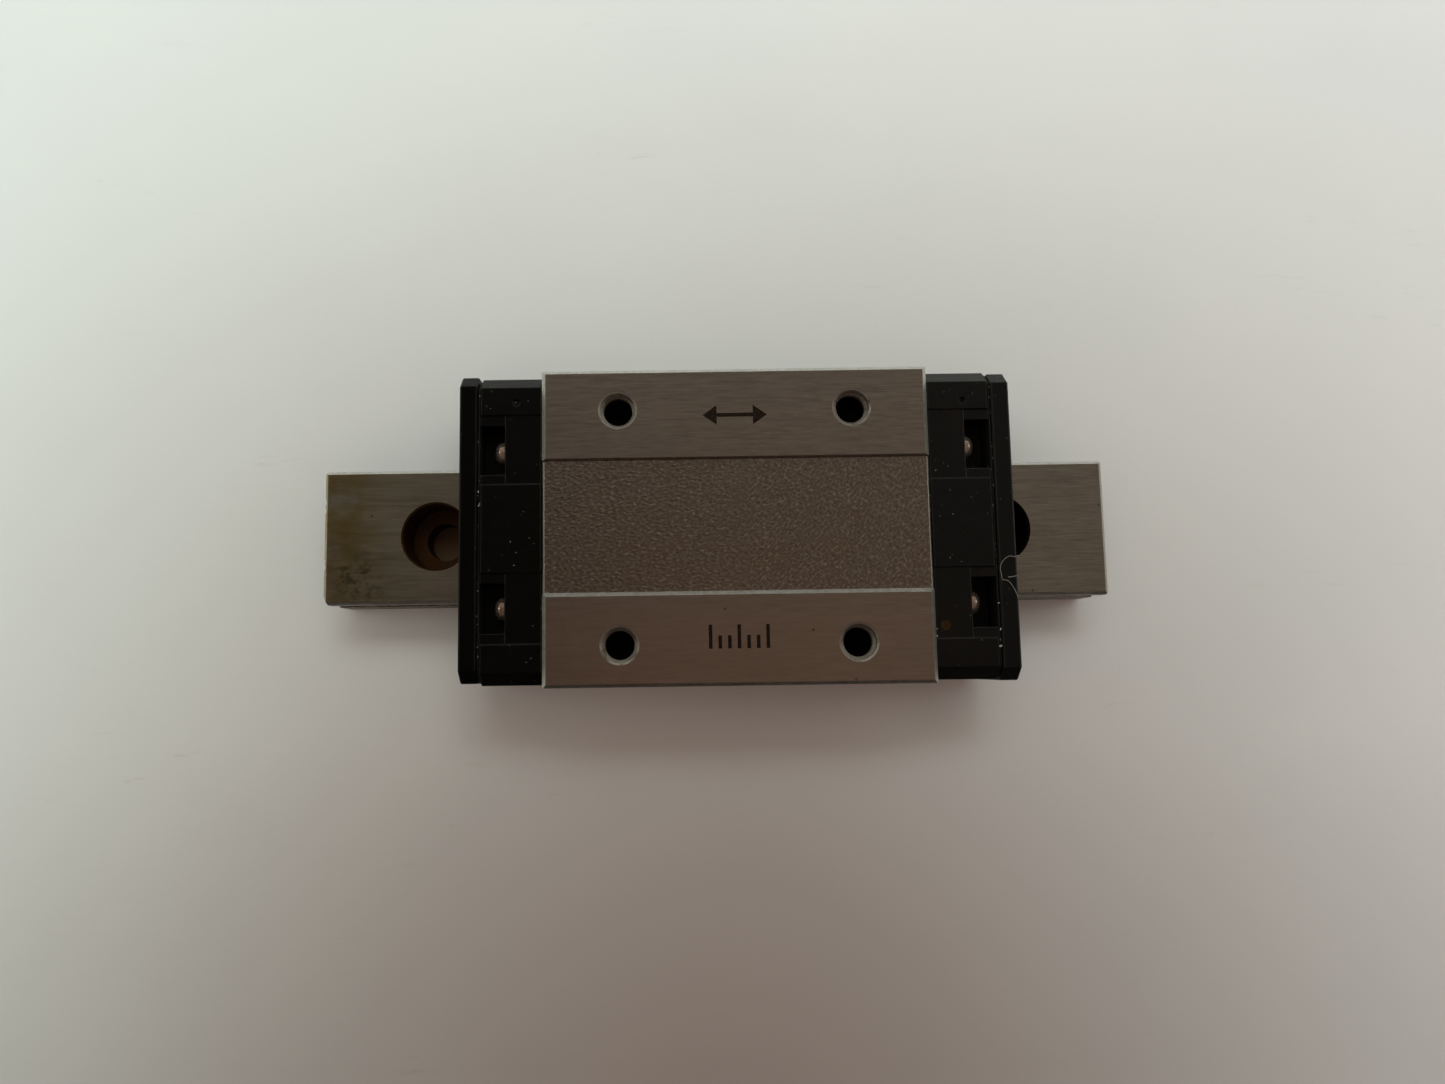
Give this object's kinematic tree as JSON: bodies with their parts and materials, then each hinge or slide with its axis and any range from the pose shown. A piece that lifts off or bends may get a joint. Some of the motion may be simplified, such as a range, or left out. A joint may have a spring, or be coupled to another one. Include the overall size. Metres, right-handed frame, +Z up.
{
  "type": "linear guide carriage",
  "caption": "Steel ball carriage with black plastic end caps, running on a short profile rail with counterbored screw holes.",
  "frame": {"origin": "centre of the rail's base, midway along the rail", "axes": "+X along the rail, +Y across it, +Z up through the carriage's top face"},
  "size_m": [0.07, 0.027, 0.013],
  "materials": {
    "rail_steel": "ground, lightly oxidised",
    "block_steel": "ground pads, blasted recess",
    "cap_plastic": "satin moulded",
    "plate_plastic": "satin moulded",
    "seal_rubber": "matt",
    "screw_steel": "bright",
    "guide_plastic": "satin moulded",
    "wire_steel": "drawn",
    "ball_steel": "polished"
  },
  "bodies": {
    "rail": {"rail": "rail_steel"},
    "carriage": {"carriage_block": "block_steel", "end_cap_left": "cap_plastic", "end_seal_left": "seal_rubber", "end_plate_left": "plate_plastic", "end_cap_right": "cap_plastic", "end_seal_right": "seal_rubber", "end_plate_right": "plate_plastic", "cap_screw_left_near": "screw_steel", "return_guide_left_near": "guide_plastic", "cap_screw_left_far": "screw_steel", "return_guide_left_far": "guide_plastic", "cap_screw_right_near": "screw_steel", "return_guide_right_near": "guide_plastic", "cap_screw_right_far": "screw_steel", "return_guide_right_far": "guide_plastic", "retaining_wire_near": "wire_steel", "retaining_wire_far": "wire_steel"},
    "loaded_balls": {"loaded_ball_near_01": "ball_steel", "loaded_ball_near_02": "ball_steel", "loaded_ball_near_03": "ball_steel", "loaded_ball_near_04": "ball_steel", "loaded_ball_near_05": "ball_steel", "loaded_ball_near_06": "ball_steel", "loaded_ball_near_07": "ball_steel", "loaded_ball_near_08": "ball_steel", "loaded_ball_near_09": "ball_steel", "loaded_ball_near_10": "ball_steel", "loaded_ball_near_11": "ball_steel", "loaded_ball_far_01": "ball_steel", "loaded_ball_far_02": "ball_steel", "loaded_ball_far_03": "ball_steel", "loaded_ball_far_04": "ball_steel", "loaded_ball_far_05": "ball_steel", "loaded_ball_far_06": "ball_steel", "loaded_ball_far_07": "ball_steel", "loaded_ball_far_08": "ball_steel", "loaded_ball_far_09": "ball_steel", "loaded_ball_far_10": "ball_steel", "loaded_ball_far_11": "ball_steel"},
    "return_balls": {"return_ball_near_01": "ball_steel", "return_ball_near_02": "ball_steel", "return_ball_near_03": "ball_steel", "return_ball_near_04": "ball_steel", "return_ball_near_05": "ball_steel", "return_ball_near_06": "ball_steel", "return_ball_near_07": "ball_steel", "return_ball_near_08": "ball_steel", "return_ball_near_09": "ball_steel", "return_ball_far_01": "ball_steel", "return_ball_far_02": "ball_steel", "return_ball_far_03": "ball_steel", "return_ball_far_04": "ball_steel", "return_ball_far_05": "ball_steel", "return_ball_far_06": "ball_steel", "return_ball_far_07": "ball_steel", "return_ball_far_08": "ball_steel", "return_ball_far_09": "ball_steel"}
  },
  "joints": [
    {"name": "carriage_slide", "type": "slide", "parent": "rail", "child": "carriage", "axis": [1, 0, 0], "range_m": [-0.013, 0.0098]},
    {"name": "loaded_ball_roll", "type": "slide", "parent": "carriage", "child": "loaded_balls", "axis": [1, 0, 0], "range_m": [-0.0049, 0.0065]},
    {"name": "return_ball_flow", "type": "slide", "parent": "carriage", "child": "return_balls", "axis": [1, 0, 0], "range_m": [-0.0065, 0.0049]}
  ],
  "couplings": [
    {"joint": "loaded_ball_roll", "follows": "carriage_slide", "ratio": -0.5},
    {"joint": "return_ball_flow", "follows": "carriage_slide", "ratio": 0.5}
  ]
}
